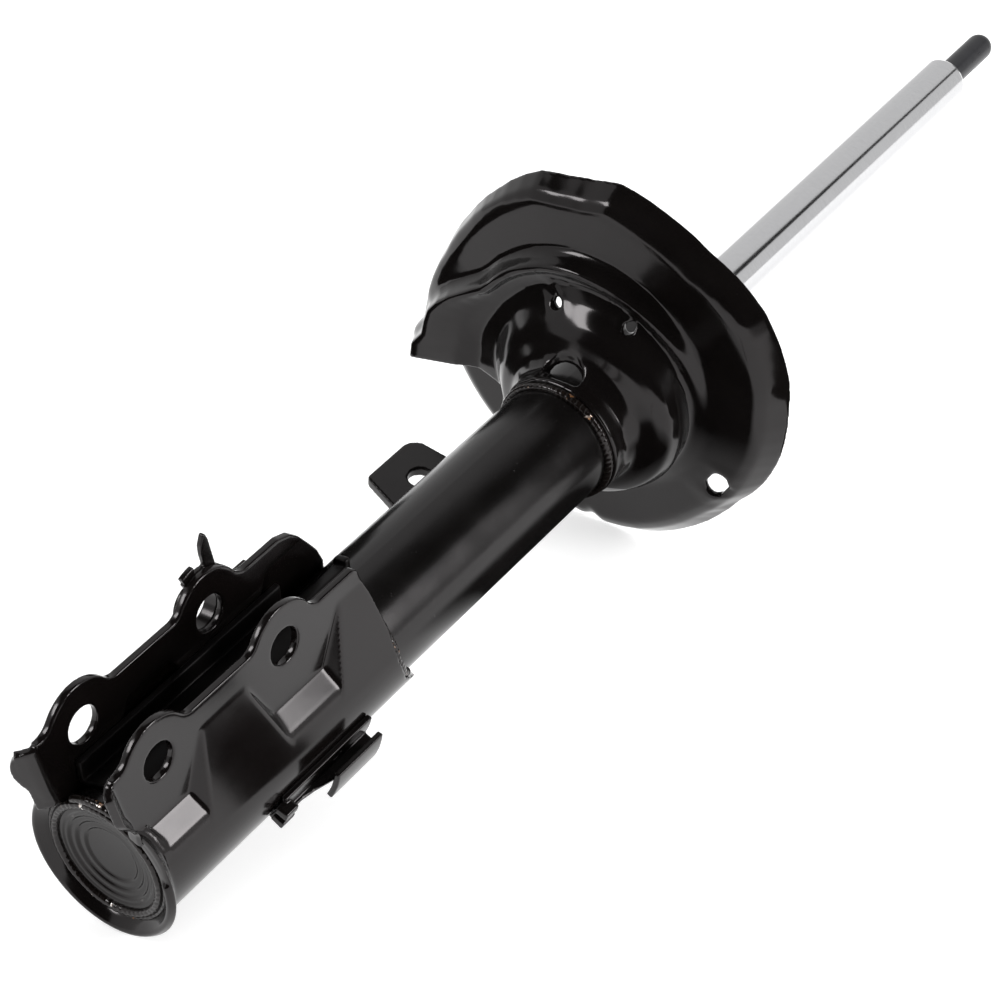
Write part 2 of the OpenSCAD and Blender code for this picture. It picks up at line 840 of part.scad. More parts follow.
module hose_bracket() {
  foot = wrap_out + 0.1;
  foot_span = [104, 136];
  leaf_span = [101, 123];
  neck_span = [118, 122];
  prong_span = 6;
  leaf_top = hose_high - 5;
  leaf_low = leaf_top - hose_leaf_h;
  color([0.17, 0.16, 0.16])
    difference() {
      union() {
        ring_part(foot, foot + clip_sheet, hose_low, hose_high, foot_span);
        rotate([0, 0, neck_span[0]])
          rotate_extrude(angle = neck_span[1] - neck_span[0])
            polygon([
              [foot + 1, hose_low + 1], [foot + 4.4, hose_low + 3.5], [foot + 4.4, (hose_low + leaf_low) / 2],
              [foot + 5.4, leaf_low - 3], [foot + 7.4, leaf_low + 6], [hose_leaf_r - 1, leaf_low + 7],
              [hose_leaf_r - 1, leaf_top + 3], [foot + 1, leaf_top + 3]
            ]);
        ring_part(hose_leaf_r - clip_sheet, hose_leaf_r, leaf_low, leaf_top, leaf_span);
        for (angle = [108, 118])
          ring_part(foot + 1, foot + 6.5, hose_low - 4, hose_low + 3, [angle, angle + prong_span]);
      }
      rotate([0, 0, (leaf_span[0] + leaf_span[1]) / 2 - 1])
        translate([20, 0, leaf_low + 12])
          rotate([0, 90, 0])
            cylinder(d = 6, h = 16);
    }
}

// sheet on the far ear's upper lobe: a foot with a collar round the bolt hole, a hook and a pointed finger
module wire_bracket() {
  face = -ear_out - 0.1;
  hug_in = lobe_r - 3.2;
  hug_out = lobe_r - 0.3;
  hook_out = lobe_r + 2.8;
  finger_root = 14;
  finger_tip = finger_root + wire_reach;
  collar_in = bolt_d / 2 + 0.6;
  foot_r = collar_in + collar_wall + 1.2;
  color([0.30, 0.29, 0.29])
    difference() {
      union() {
        along_y(face - collar_h, face - clip_sheet / 2)
          translate([bolt_x, bolt_high])
            circle(collar_in + collar_wall);
        along_y(face - clip_sheet, face)
          translate([bolt_x, bolt_high]) {
            circle(foot_r);
            clip_arc(foot_r - 0.5, hug_out, -24, 84);
            clip_arc(hug_in, hook_out, -22, -3);
            translate([-7, hug_in + 0.5])
              square([11, 11.5]);
            polygon([
              [finger_root, 5.2], [finger_root, 10.4], [finger_tip - 3, 8.4], [finger_tip, 7.3],
              [finger_tip, 6.2], [finger_tip - 4, 4.2], [finger_tip - 8, 4]
            ]);
          }
      }
      along_y(face - collar_h - 1, face + 1)
        translate([bolt_x, bolt_high])
          circle(collar_in);
    }
}

// part of a flat ring between two angles
module clip_arc(inner, outer, from, to) {
  far = 2 * outer;
  middle = (from + to) / 2;
  intersection() {
    difference() {
      circle(outer);
      circle(inner);
    }
    polygon([
      [0, 0], far * [cos(from), sin(from)], far * [cos(middle), sin(middle)], far * [cos(to), sin(to)]
    ]);
  }
}

// ---------- seal, guide and pressure tube ----------

module seal_washer() {
  color([0.62, 0.62, 0.64])
    ring(rod_r + 1.2, tube_in - 0.1, seal_top + rub, washer_top - rub);
}

module rod_seal() {
  low = guide_top + rub;
  color([0.10, 0.10, 0.11])
    rotate_extrude()
      polygon([
        [rod_r + run_gap, low], [tube_in - 0.1, low], [tube_in - 0.1, seal_top], [rod_r + 3.4, seal_top],
        [rod_r + 2.2, seal_top - 1.2], [rod_r + 0.8, seal_top], [rod_r + run_gap, seal_top - 0.8]
      ]);
}

module rod_guide() {
  color([0.55, 0.55, 0.56])
    rotate_extrude()
      polygon([
        [rod_r + 1.6, guide_low], [bore_r - rub, guide_low], [bore_r - rub, guide_face],
        [tube_in - 0.1, guide_face], [tube_in - 0.1, guide_top], [rod_r + 3, guide_top],
        [rod_r + 1.6, guide_top - 3]
      ]);
}

module guide_bush() {
  color([0.55, 0.42, 0.25])
    ring(rod_r + run_gap, rod_r + 1.6 - rub, guide_low + 2, guide_top - 6);
}

module pressure_tube() {
  color([0.50, 0.50, 0.52])
    ring(bore_r, pressure_out, valve_step + rub, guide_face - rub);
}

// ---------- base valve ----------

module base_valve_body() {
  color([0.45, 0.45, 0.46])
    difference() {
      rotate_extrude()
        polygon([
          [pin_r + rub, valve_foot + 4.5], [10.4, valve_foot + 4.5], [12.5, valve_foot],
          [pressure_out - 3, valve_foot], [pressure_out, valve_foot + 3], [pressure_out, valve_step],
          [bore_r - rub, valve_step], [bore_r - rub, valve_top], [pin_r + rub, valve_top]
        ]);
      for (turn = [0:45:315])
        rotate([0, 0, turn])
          translate([pin_r + 3, 0, 0])
            cylinder(d = 2.4, h = 40, $fn = 24);
      for (turn = [22.5:45:337.5])
        rotate([0, 0, turn])
          translate([12.4, 0, 0])
            cylinder(d = 3, h = 40, $fn = 24);
      for (turn = [0:90:270])
        rotate([0, 0, turn])
          translate([10.5, -2, valve_foot - 1])
            cube([10, 4, 3]);
    }
}

module base_valve_discs() {
  top = valve_foot + 4.5 - rub;
  color([0.66, 0.66, 0.68])
    rotate_extrude()
      polygon([
        [pin_r + rub, top - 2], [6.6, top - 2], [6.6, top - 1.5], [7.8, top - 1.5], [7.8, top - 1],
        [8.6, top - 1], [8.6, top - 0.5], [9.4, top - 0.5], [9.4, top], [pin_r + rub, top]
      ]);
}

module intake_plate() {
  color([0.66, 0.66, 0.68])
    difference() {
      ring(pin_r + 1.8, 14.8, intake_low, intake_top);
      for (turn = [0:45:315])
        rotate([0, 0, turn])
          translate([pin_r + 3, 0, 0])
            cylinder(d = 2, h = 60, $fn = 24);
    }
}

module intake_spring() {
  low = intake_top + rub;
  high = pin_head_low - rub;
  color([0.72, 0.72, 0.74])
    difference() {
      rotate_extrude()
        polygon([
          [pin_r + 0.5, high - 0.4], [pin_r + 2.5, high - 0.4], [11.6, low], [13.4, low], [13.4, low + 0.4],
          [11.8, low + 0.4], [pin_r + 2.7, high], [pin_r + 0.5, high]
        ]);
      for (turn = [0:60:300])
        rotate([0, 0, turn])
          translate([8, -2, low - 1])
            cube([8, 4, 8]);
    }
}

module base_valve_pin() {
  low = valve_foot + 4.5 - rub - 2;
  color([0.60, 0.60, 0.62])
    rotate_extrude()
      polygon([
        [0, low - 1.6], [5.4, low - 1.6], [6.2, low - 0.8], [6.2, low - rub], [pin_r, low - rub],
        [pin_r, pin_head_low], [7.2, pin_head_low], [7.2, pin_head_low + 1.4],
        [6.2, pin_head_low + 2.2], [0, pin_head_low + 2.2]
      ]);
}

// ---------- rod and piston ----------

module piston_rod() {
  chamfer = 2.2;
  stud_top = rod_shoulder + stud_length;
  color([0.80, 0.80, 0.82])
    rotate_extrude()
      polygon([
        [0, shank_low], [shank_r - 1, shank_low], [shank_r, shank_low + 1], [shank_r, shank_top],
        [rod_r - 0.8, shank_top], [rod_r, shank_top + 0.8], [rod_r, rod_shoulder - chamfer],
        [rod_r - 0.7, rod_shoulder - chamfer / 3], [rod_r - chamfer, rod_shoulder],
        [root_r, rod_shoulder], [root_r, rod_shoulder + root_h], [stud_r, rod_shoulder + root_h],
        [stud_r, stud_top - 1.2], [stud_r - 1.2, stud_top], [0, stud_top]
      ]);
}

// closed sleeve over the stud, with a round tip
module stud_cover() {
  inner = stud_r + rub;
  outer = inner + cover_wall;
  low = rod_shoulder + root_h + rub;
  shoulder = rod_shoulder + stud_length;
  color([0.03, 0.03, 0.035])
    difference() {
      union() {
        translate([0, 0, low])
          cylinder(r = outer, h = shoulder - low);
        translate([0, 0, shoulder])
          sphere(r = outer);
      }
      translate([0, 0, low - 1])
        cylinder(r = inner, h = shoulder - low + 1 + rub);
      translate([0, 0, shoulder + rub - 0.01])
        cylinder(r1 = inner, r2 = 1.5, h = outer - 1.4);
    }
}

module rebound_ring() {
  color([0.50, 0.50, 0.52])
    ring(rod_r + 0.02, rod_r + 3.2, ring_low, ring_top - rub);
}

module rebound_bumper() {
  color([0.85, 0.84, 0.80])
    rotate_extrude()
      polygon([
        [rod_r + 0.05, ring_top], [rod_r + 3.6, ring_top], [rod_r + 4.2, ring_top + 1],
        [rod_r + 4.2, bumper_top - 2.4], [rod_r + 2.4, bumper_top], [rod_r + 0.05, bumper_top]
      ]);
}

module check_stop() {
  color([0.60, 0.60, 0.62])
    rotate_extrude()
      polygon([
        [shank_r + 0.02, piston_top + rub], [8, piston_top + rub], [8, stop_low], [13, stop_low],
        [13, stop_low + 1.8], [10.4, shank_top - rub], [shank_r + 0.02, shank_top - rub]
      ]);
}

module piston_check_plate() {
  color([0.66, 0.66, 0.68])
    ring(8.2, 14.2, check_low, check_low + check_sheet);
}

module piston() {
  body = bore_r - 0.4;
  color([0.35, 0.35, 0.37])
    difference() {
      rotate_extrude()
        polygon([
          [shank_r + 0.02, piston_low], [body - 0.8, piston_low], [body, piston_low + 0.8],
          [body, band_low - rub], [groove_r - rub, band_low - rub],
          [groove_r - rub, band_low + band_height + rub], [body, band_low + band_height + rub],
          [body, piston_top - 0.8], [body - 0.8, piston_top], [shank_r + 0.02, piston_top]
        ]);
      for (turn = [0:45:315])
        rotate([0, 0, turn])
          translate([11, 0, piston_low - 1])
            cylinder(d = 3, h = piston_length + 2, $fn = 24);
    }
}

module piston_band() {
  color([0.30, 0.24, 0.16])
    ring(groove_r, bore_r - run_gap, band_low, band_low + band_height);
}

module rebound_discs() {
  top = piston_low - rub;
  color([0.66, 0.66, 0.68])
    rotate_extrude()
      polygon([
        [shank_r + 0.02, nut_top + rub], [9.4, nut_top + rub], [9.4, top - 2], [10.8, top - 2],
        [10.8, top - 1.4], [11.8, top - 1.4], [11.8, top - 0.8], [13, top - 0.8], [13, top],
        [shank_r + 0.02, top]
      ]);
}

module piston_nut() {
  color([0.58, 0.58, 0.60])
    difference() {
      translate([0, 0, nut_top - nut_h])
        cylinder(r = 10.4, h = nut_h, $fn = 6);
      translate([0, 0, nut_top - nut_h - 1])
        cylinder(r = shank_r + 0.02, h = nut_h + 2);
    }
}

outer_tube();
base_cap();
base_weld();
knuckle_bracket();
closing_plate();
bracket_weld();
spring_seat();
seat_weld();
link_bracket();
link_weld();
hose_bracket();
wire_bracket();
seal_washer();
rod_seal();
rod_guide();
guide_bush();
pressure_tube();
base_valve_body();
base_valve_discs();
intake_plate();
intake_spring();
base_valve_pin();
piston_rod();
stud_cover();
rebound_ring();
rebound_bumper();
check_stop();
piston_check_plate();
piston();
piston_band();
rebound_discs();
piston_nut();
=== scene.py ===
import json
import math
import bmesh
import bpy
import numpy as np
from mathutils import Matrix, Vector, noise
from mathutils.bvhtree import BVHTree


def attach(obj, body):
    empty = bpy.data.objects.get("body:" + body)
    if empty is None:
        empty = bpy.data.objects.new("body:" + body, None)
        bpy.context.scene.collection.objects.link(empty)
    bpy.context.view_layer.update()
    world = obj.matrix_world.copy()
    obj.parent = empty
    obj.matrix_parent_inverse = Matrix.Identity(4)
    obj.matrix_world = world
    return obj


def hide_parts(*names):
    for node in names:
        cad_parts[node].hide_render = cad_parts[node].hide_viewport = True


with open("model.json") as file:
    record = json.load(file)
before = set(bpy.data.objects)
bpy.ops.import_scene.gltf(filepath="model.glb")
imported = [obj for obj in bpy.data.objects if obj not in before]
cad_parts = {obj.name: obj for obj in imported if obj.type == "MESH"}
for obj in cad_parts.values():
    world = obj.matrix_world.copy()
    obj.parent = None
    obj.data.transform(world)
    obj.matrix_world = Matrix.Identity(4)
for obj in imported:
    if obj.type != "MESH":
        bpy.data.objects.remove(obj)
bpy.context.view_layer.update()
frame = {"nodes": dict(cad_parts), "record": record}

MM = 0.001

scene = bpy.context.scene
scene.view_settings.view_transform = "Standard"

# ---------- camera: fitted to the photograph ----------

CAMERA_AT = (0.7500, 0.5808, -0.5005)
CAMERA_RIGHT = Vector((-0.0614, 0.8144, 0.5771)).normalized()
CAMERA_BACK = Vector((0.6253, 0.4820, -0.6137)).normalized()
LENS_MM = 106.68
SENSOR_MM = 36


def make_camera():
    data = bpy.data.cameras.new("camera")
    data.sensor_width = SENSOR_MM
    data.lens = LENS_MM
    data.clip_end = 20
    cam = bpy.data.objects.new("camera", data)
    scene.collection.objects.link(cam)
    up = CAMERA_BACK.cross(CAMERA_RIGHT).normalized()
    right = up.cross(CAMERA_BACK).normalized()
    place = Matrix((right, up, CAMERA_BACK)).transposed().to_4x4()
    place.translation = CAMERA_AT
    cam.matrix_world = place
    scene.camera = cam


make_camera()

# ---------- sizes shared with the solids, in millimetres ----------

TUBE_R = 25.5
TUBE_FOOT = 3.0
WRAP_OUT = 29.1
BRACKET_SHEET = 3.5
SEAT_LOW = 281.0
LINK_TURN = math.radians(10)
LINK_BACK = 12.0
LINK_SHEET = 4.5
LINK_LOW = 208.0
LINK_TOP = 253.5
NEAR_EDGE = [(22, 133), (2, 133.5), (-9, 137.5), (-17.5, 147.5), (-24, 154), (-29, 156)]
FAR_EDGE = [(8, 156), (-29, 156)]


# ---------- meshes ----------

def finished(bm, name):
    """The bmesh as a new mesh."""
    mesh = bpy.data.meshes.new(name)
    bm.to_mesh(mesh)
    bm.free()
    return mesh


def skin(bm, rings, closed=False):
    """Faces from each ring of points to the next; an open row of rings gets flat ends."""
    loop = len(rings[0])
    pairs = list(zip(rings, rings[1:]))
    if closed:
        pairs.append((rings[-1], rings[0]))
    for a, b in pairs:
        for k in range(loop):
            bm.faces.new((a[k], a[(k + 1) % loop], b[(k + 1) % loop], b[k]))
    if not closed:
        bm.faces.new(list(reversed(rings[0])))
        bm.faces.new(rings[-1])
    bmesh.ops.recalc_face_normals(bm, faces=bm.faces)


# ---------- materials ----------

def principled(name, roughness, metallic=0.0, specular=0.32):
    mat = bpy.data.materials.new(name)
    mat.use_nodes = True
    shader = mat.node_tree.nodes["Principled BSDF"]
    shader.inputs["Roughness"].default_value = roughness
    shader.inputs["Metallic"].default_value = metallic
    shader.inputs["Specular IOR Level"].default_value = specular
    return mat, mat.node_tree, shader


def coordinates(tree, scale=(1, 1, 1)):
    source = tree.nodes.new("ShaderNodeTexCoord")
    mapping = tree.nodes.new("ShaderNodeMapping")
    mapping.inputs["Scale"].default_value = scale
    tree.links.new(source.outputs["Object"], mapping.inputs["Vector"])
    return mapping.outputs["Vector"]


def noise_value(tree, vector, scale, detail=4.0, roughness=0.55):
    item = tree.nodes.new("ShaderNodeTexNoise")
    item.inputs["Scale"].default_value = scale
    item.inputs["Detail"].default_value = detail
    item.inputs["Roughness"].default_value = roughness
    tree.links.new(vector, item.inputs["Vector"])
    return item.outputs["Fac"]


def ramp(tree, value, stops):
    item = tree.nodes.new("ShaderNodeValToRGB")
    band = item.color_ramp
    while len(band.elements) < len(stops):
        band.elements.new(0.5)
    for element, (place, color) in zip(band.elements, stops):
        element.position = place
        element.color = (*color, 1)
    tree.links.new(value, item.inputs["Fac"])
    return item.outputs["Color"]


def mix_colors(tree, factor, a, b):
    item = tree.nodes.new("ShaderNodeMix")
    item.data_type = "RGBA"
    tree.links.new(factor, item.inputs["Factor"])
    for socket, value in ((item.inputs[6], a), (item.inputs[7], b)):
        if isinstance(value, tuple):
            socket.default_value = (*value, 1)
        else:
            tree.links.new(value, socket)
    return item.outputs[2]


def map_range(tree, value, source, target):
    """Takes the range source to the range target, and keeps to its ends outside."""
    item = tree.nodes.new("ShaderNodeMapRange")
    item.inputs["From Min"].default_value, item.inputs["From Max"].default_value = source
    item.inputs["To Min"].default_value, item.inputs["To Max"].default_value = target
    tree.links.new(value, item.inputs["Value"])
    return item.outputs["Result"]


def math_node(tree, operation, *values):
    """A maths node; each value is a number or another node's output."""
    item = tree.nodes.new("ShaderNodeMath")
    item.operation = operation
    for socket, value in zip(item.inputs, values):
        if isinstance(value, (int, float)):
            socket.default_value = value
        else:
            tree.links.new(value, socket)
    return item.outputs[0]


def bump(tree, shader, height, strength, distance):
    item = tree.nodes.new("ShaderNodeBump")
    item.inputs["Strength"].default_value = strength
    item.inputs["Distance"].default_value = distance
    tree.links.new(height, item.inputs["Height"])
    tree.links.new(item.outputs["Normal"], shader.inputs["Normal"])


# warm cast of the paint's shine
TINT = (1.0, 0.955, 0.965, 1)
# orange peel: noise scales per metre, the broad waves' share of the height, strength and height of the bump
PEEL_FINE = 900
PEEL_BROAD = 70
PEEL_BROAD_SHARE = 13
PEEL_STRENGTH = 0.05
PEEL_HEIGHT = 0.00012
# heights of the bumps on metal and on moulded pieces
METAL_GRAIN = 0.00003
MOULDED_GRAIN = 0.00005
# colours where the paint is rubbed off edges, and of bare and rusty metal
RUBBED = (0.16, 0.155, 0.15)
BARE_STEEL = (0.62, 0.60, 0.58)
RUST = (0.34, 0.15, 0.05)


def paint(name, color, roughness, wear=0.0, peel=0.25, dust=0.5, specular=0.32, bare=0.0):
    """Baked black paint: faint mottling, orange peel, specks of dust and rubbed edges.

    Where a noise passes bare, the metal shows in rusty spots.
    """
    mat, tree, shader = principled(name, roughness, specular=specular)
    at = coordinates(tree)
    cloud = noise_value(tree, at, scale=28, detail=5)
    speck = noise_value(tree, at, scale=620, detail=2, roughness=0.7)
    light = tuple(c * 1.5 + 0.0004 for c in color)
    base = ramp(tree, cloud, [(0.35, color), (0.72, light)])
    dust_color = tuple(min(1, c * 3 + 0.05 * dust) for c in color)
    base = mix_colors(tree, map_range(tree, speck, (0.70, 0.80), (0, 0.5 * dust)), base, dust_color)
    if wear:
        geometry = tree.nodes.new("ShaderNodeNewGeometry")
        rubbed = map_range(tree, geometry.outputs["Pointiness"], (0.54, 0.62), (0, wear))
        base = mix_colors(tree, rubbed, base, RUBBED)
    if bare:
        patches = noise_value(tree, at, scale=190, detail=3, roughness=0.6)
        chip = map_range(tree, patches, (bare, bare + 0.02), (0, 1))
        metal = ramp(tree, noise_value(tree, at, scale=130, detail=2), [(0.46, BARE_STEEL), (0.56, RUST)])
        base = mix_colors(tree, chip, base, metal)
        tree.links.new(map_range(tree, chip, (0, 1), (0, 0.7)), shader.inputs["Metallic"])
    tree.links.new(base, shader.inputs["Base Color"])
    smears = noise_value(tree, at, scale=55, detail=4)
    rough = map_range(tree, smears, (0.3, 0.75), (roughness * 0.85, roughness * 1.25))
    tree.links.new(rough, shader.inputs["Roughness"])
    fine = noise_value(tree, at, PEEL_FINE, detail=2)
    broad = noise_value(tree, at, PEEL_BROAD, detail=2)
    both = math_node(tree, "MULTIPLY_ADD", broad, PEEL_BROAD_SHARE, fine)
    bump(tree, shader, both, peel * PEEL_STRENGTH, PEEL_HEIGHT)
    shader.inputs["Specular Tint"].default_value = TINT
    return mat


def bare_metal(name, color, roughness, stretch=(1, 1, 1), scale=900, grain=0.12, metallic=1.0):
    """Machined or ground metal with fine lines or grains."""
    mat, tree, shader = principled(name, roughness, metallic)
    at = coordinates(tree, stretch)
    grains = noise_value(tree, at, scale, detail=3, roughness=0.6)
    dark = tuple(c * 0.86 for c in color)
    tree.links.new(ramp(tree, grains, [(0.3, dark), (0.7, color)]), shader.inputs["Base Color"])
    rough = map_range(tree, grains, (0.3, 0.7), (roughness * 0.8, roughness * 1.3))
    tree.links.new(rough, shader.inputs["Roughness"])
    bump(tree, shader, grains, grain, METAL_GRAIN)
    return mat


def soft_solid(name, color, roughness, scale=240, grain=0.2):
    """Rubber or plastic with a fine moulded grain."""
    mat, tree, shader = principled(name, roughness)
    at = coordinates(tree)
    grains = noise_value(tree, at, scale, detail=4)
    light = tuple(c * 1.25 + 0.003 for c in color)
    tree.links.new(ramp(tree, grains, [(0.3, color), (0.75, light)]), shader.inputs["Base Color"])
    rough = map_range(tree, grains, (0.3, 0.7), (roughness * 0.9, roughness * 1.15))
    tree.links.new(rough, shader.inputs["Roughness"])
    bump(tree, shader, noise_value(tree, at, scale * 5, detail=2), grain, MOULDED_GRAIN)
    return mat


MATERIALS = {
    "tube_paint": paint("tube_paint", (0.0026, 0.0023, 0.0022), 0.19, dust=0.9),
    "bracket_paint": paint("bracket_paint", (0.0026, 0.0020, 0.0019), 0.145, wear=0.3, dust=0.5),
    # painted shade: a darker, less shiny copy of the bracket paint, for the closing plate that sits in shade between
    # the ears
    "inner_paint": paint("inner_paint", (0.0022, 0.0018, 0.0017), 0.4, dust=0.2, specular=0.12),
    "seat_paint": paint("seat_paint", (0.0026, 0.0021, 0.0020), 0.12, wear=0.15, dust=0.5),
    "small_bracket_paint": paint("small_bracket_paint", (0.0026, 0.0021, 0.0020), 0.20, wear=0.4),
    "cap_paint": paint("cap_paint", (0.0050, 0.0044, 0.0042), 0.20, wear=0.3, dust=0.9, specular=0.22),
    "weld_paint": paint("weld_paint", (0.0036, 0.0026, 0.0022), 0.16, wear=0.5, peel=0.5, bare=0.66),
    "burnt_weld": paint("burnt_weld", (0.0036, 0.0026, 0.0022), 0.2, wear=0.6, peel=0.5, bare=0.47),
    "rod_chrome": bare_metal("rod_chrome", (0.60, 0.60, 0.61), 0.13, stretch=(1, 1, 30), scale=260, grain=0.05),
    "cover_black": soft_solid("cover_black", (0.010, 0.010, 0.012), 0.30),
    "plain_steel": bare_metal("plain_steel", (0.56, 0.56, 0.57), 0.28),
    "sintered_steel": bare_metal("sintered_steel", (0.30, 0.30, 0.31), 0.45, scale=2600, grain=0.35),
    "seal_rubber": soft_solid("seal_rubber", (0.015, 0.015, 0.015), 0.55),
    "bush_bronze": bare_metal("bush_bronze", (0.60, 0.42, 0.22), 0.32),
    "band_plastic": soft_solid("band_plastic", (0.10, 0.075, 0.045), 0.42),
    "bumper_plastic": soft_solid("bumper_plastic", (0.72, 0.70, 0.63), 0.45),
}

SLOT_OF = {row["node"]: row["material_slot"] for row in frame["record"]["subparts"]}


def dress_nodes():
    for name, piece in frame["nodes"].items():
        for slot in piece.material_slots:
            slot.material = MATERIALS[SLOT_OF[name]]


dress_nodes()


# ---------- pressed sheet pieces ----------

# how far under the surface the rays start that measure the metal's thickness
THICKNESS_START = 0.02 * MM
EDGE_START = 0.05 * MM
# rings of faces over which the smoothing of bends fades in, away from a cut edge
FADE_RINGS = 6
# how far a point moves towards its neighbours' mean in one pass
SMOOTHING = 0.5


def add_piece(name, mesh, slot):
    piece = bpy.data.objects.new(name, mesh)
    scene.collection.objects.link(piece)
    mesh.materials.clear()
    mesh.materials.append(MATERIALS[slot])
    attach(piece, "housing")
    return piece


def smooth_shade(mesh):
    mesh.polygons.foreach_set("use_smooth", [True] * len(mesh.polygons))
    mesh.update()


def thicken(bm, least):
    """Moves the two sides of steep walls apart where the metal is thinner than least."""
    tree = BVHTree.FromBMesh(bm)
    moves = {}
    for face in bm.faces:
        normal = face.normal.copy()
        middle = face.calc_center_median()
        for spot in [middle] + [middle.lerp(v.co, 0.8) for v in face.verts]:
            hit = tree.ray_cast(spot - normal * THICKNESS_START, -normal, least)
            if hit[0] is not None:
                for v in face.verts:
                    moves.setdefault(v.index, []).append(normal * ((least - hit[3]) / 2))
    bm.verts.ensure_lookup_table()
    for index, steps in moves.items():
        bm.verts[index].co += max(steps, key=lambda step: step.length)


def remeshed(source, voxel, extra=None, least=None):
    """A copy of a node's mesh, joined with an extra closed mesh, with even small faces."""
    bm = bmesh.new()
    bm.from_mesh(source.data)
    if least:
        bmesh.ops.remove_doubles(bm, verts=bm.verts, dist=0.001 * MM)
        bm.verts.index_update()
        bm.normal_update()
        thicken(bm, least)
    if extra is not None:
        bm.from_mesh(extra)
    helper = bpy.data.objects.new("helper", finished(bm, "joined"))
    scene.collection.objects.link(helper)
    mod = helper.modifiers.new("even", "REMESH")
    mod.mode = "VOXEL"
    mod.voxel_size = voxel
    mesh = bpy.data.meshes.new_from_object(helper.evaluated_get(bpy.context.evaluated_depsgraph_get()))
    bpy.data.objects.remove(helper, do_unlink=True)
    return mesh


def neighbour_mean(points, edges, count):
    total = np.zeros_like(points)
    for axis in range(3):
        total[:, axis] = (
            np.bincount(edges[:, 0], points[edges[:, 1], axis], len(points))
            + np.bincount(edges[:, 1], points[edges[:, 0], axis], len(points)))
    return total / count[:, None]


def cut_edge_mask(mesh, sheet):
    """Points on the sheet's cut edges: straight through the metal it is further than the sheet."""
    tree = BVHTree.FromPolygons([v.co for v in mesh.vertices], [p.vertices for p in mesh.polygons])
    mask = np.zeros(len(mesh.vertices), bool)
    for v in mesh.vertices:
        start = v.co - v.normal * EDGE_START
        hit = tree.ray_cast(start, -v.normal, sheet * 1.5)
        mask[v.index] = hit[0] is None
    return mask


def pressed(name, voxel, edge_passes, form_passes, sheet, keep=4, extra=None, warp=None, least=None):
    """The node's sheet with rounded cut edges, and wide soft bends from keep rings of faces off those edges."""
    source = frame["nodes"][name]
    mesh = remeshed(source, voxel, extra, least)
    points = np.empty(len(mesh.vertices) * 3)
    mesh.vertices.foreach_get("co", points)
    points = points.reshape(-1, 3)
    edges = np.empty(len(mesh.edges) * 2, int)
    mesh.edges.foreach_get("vertices", edges)
    edges = edges.reshape(-1, 2)
    count = np.maximum(1, np.bincount(edges.ravel(), minlength=len(points)))
    near = cut_edge_mask(mesh, sheet).astype(float)
    reach = near.copy()
    rings = keep + FADE_RINGS
    for _ in range(rings):
        spread = np.maximum(reach[edges[:, 0]], reach[edges[:, 1]]) - 1 / rings
        np.maximum.at(reach, edges[:, 0], spread)
        np.maximum.at(reach, edges[:, 1], spread)
    free = np.clip(1 - reach, 0, 1)
    free = (free * free * (3 - 2 * free))[:, None]
    if warp:
        warp(points)
    for _ in range(form_passes):
        points += free * SMOOTHING * (neighbour_mean(points, edges, count) - points)
    for _ in range(edge_passes):
        points += SMOOTHING * (neighbour_mean(points, edges, count) - points)
    mesh.vertices.foreach_set("co", points.ravel())
    smooth_shade(mesh)
    piece = add_piece(name + "_sheet", mesh, SLOT_OF[name])
    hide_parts(name)
    return piece


# lower lip, in millimetres: the ring's radius, the sheet above the bend, the bend's radius, its full flare and steps
LIP_RING_R = 27.35
LIP_ABOVE = 2.5
LIP_BEND = 4.6
LIP_FLARE = math.radians(52)
LIP_STEPS = 8
# its path on the wall's middle: x, y, z of the bend, share of the flare, length past the bend
LIP_NEAR = [
    (52.3, 17.5, -9.6, 0.05, 1.8), (46, 17.5, -9.4, 0.05, 2.4), (39, 17.5, -8.6, 0.05, 2.6),
    (33, 17.5, -7.6, 0.08, 2.4), (28.5, 17.5, -6.2, 0.2, 2.0), (25.5, 17.6, -4.2, 0.55, 2.6),
    (23, 18.2, -2.0, 0.9, 4.0), (20, 19.8, -0.4, 1, 5.2), (16.5, 22.4, 0.4, 1, 5.6), (12.5, 24.8, 0.6, 1, 5.2)
]
# and round the ring, for angles in degrees: z, share of the flare, length past the bend
LIP_RING = (0.5, 1, 4.6)
LIP_RING_ANGLES = range(72, 303, 6)
LIP_FAR = [
    (17.5, -21.0, -0.8, 1, 4.4), (20.5, -18.6, -2.7, 1, 3.2), (24, -17.5, -4.9, 1, 2.0), (27, -17.5, -5.8, 1, 1.8),
    (32, -17.5, -6.9, 1, 3.9), (38, -17.5, -8.0, 1, 6.4), (44, -17.5, -9.0, 1, 6.6), (48, -17.5, -9.7, 1, 4.9),
    (50.3, -17.5, -10.1, 0.95, 2.6), (51.6, -17.5, -10.3, 0.8, 0.6)
]
# points put between two of the path's, and half of the lip's sheet
LIP_BETWEEN = 4
LIP_HALF = BRACKET_SHEET / 2 - 0.15
# the near ear is drawn up by this share of its depth below a height, from one x to another, beyond a least x and y
TRIM_SHARE = 0.85
TRIM_BELOW = -5.0
TRIM_FROM_X = 37
TRIM_TO_X = 25
TRIM_LEAST = (6, 12)


def trim_near_lip(points):
    """Draws the near ear's lower edge up to the line where it runs into the ring."""
    x, y, z = (points / MM).T
    across = np.clip((TRIM_FROM_X - x) / (TRIM_FROM_X - TRIM_TO_X), 0, 1)
    below = np.clip(TRIM_BELOW - z, 0, None)
    beside = (y > TRIM_LEAST[1]) * (x > TRIM_LEAST[0])
    points[:, 2] += TRIM_SHARE * across * across * (3 - 2 * across) * below * beside * MM


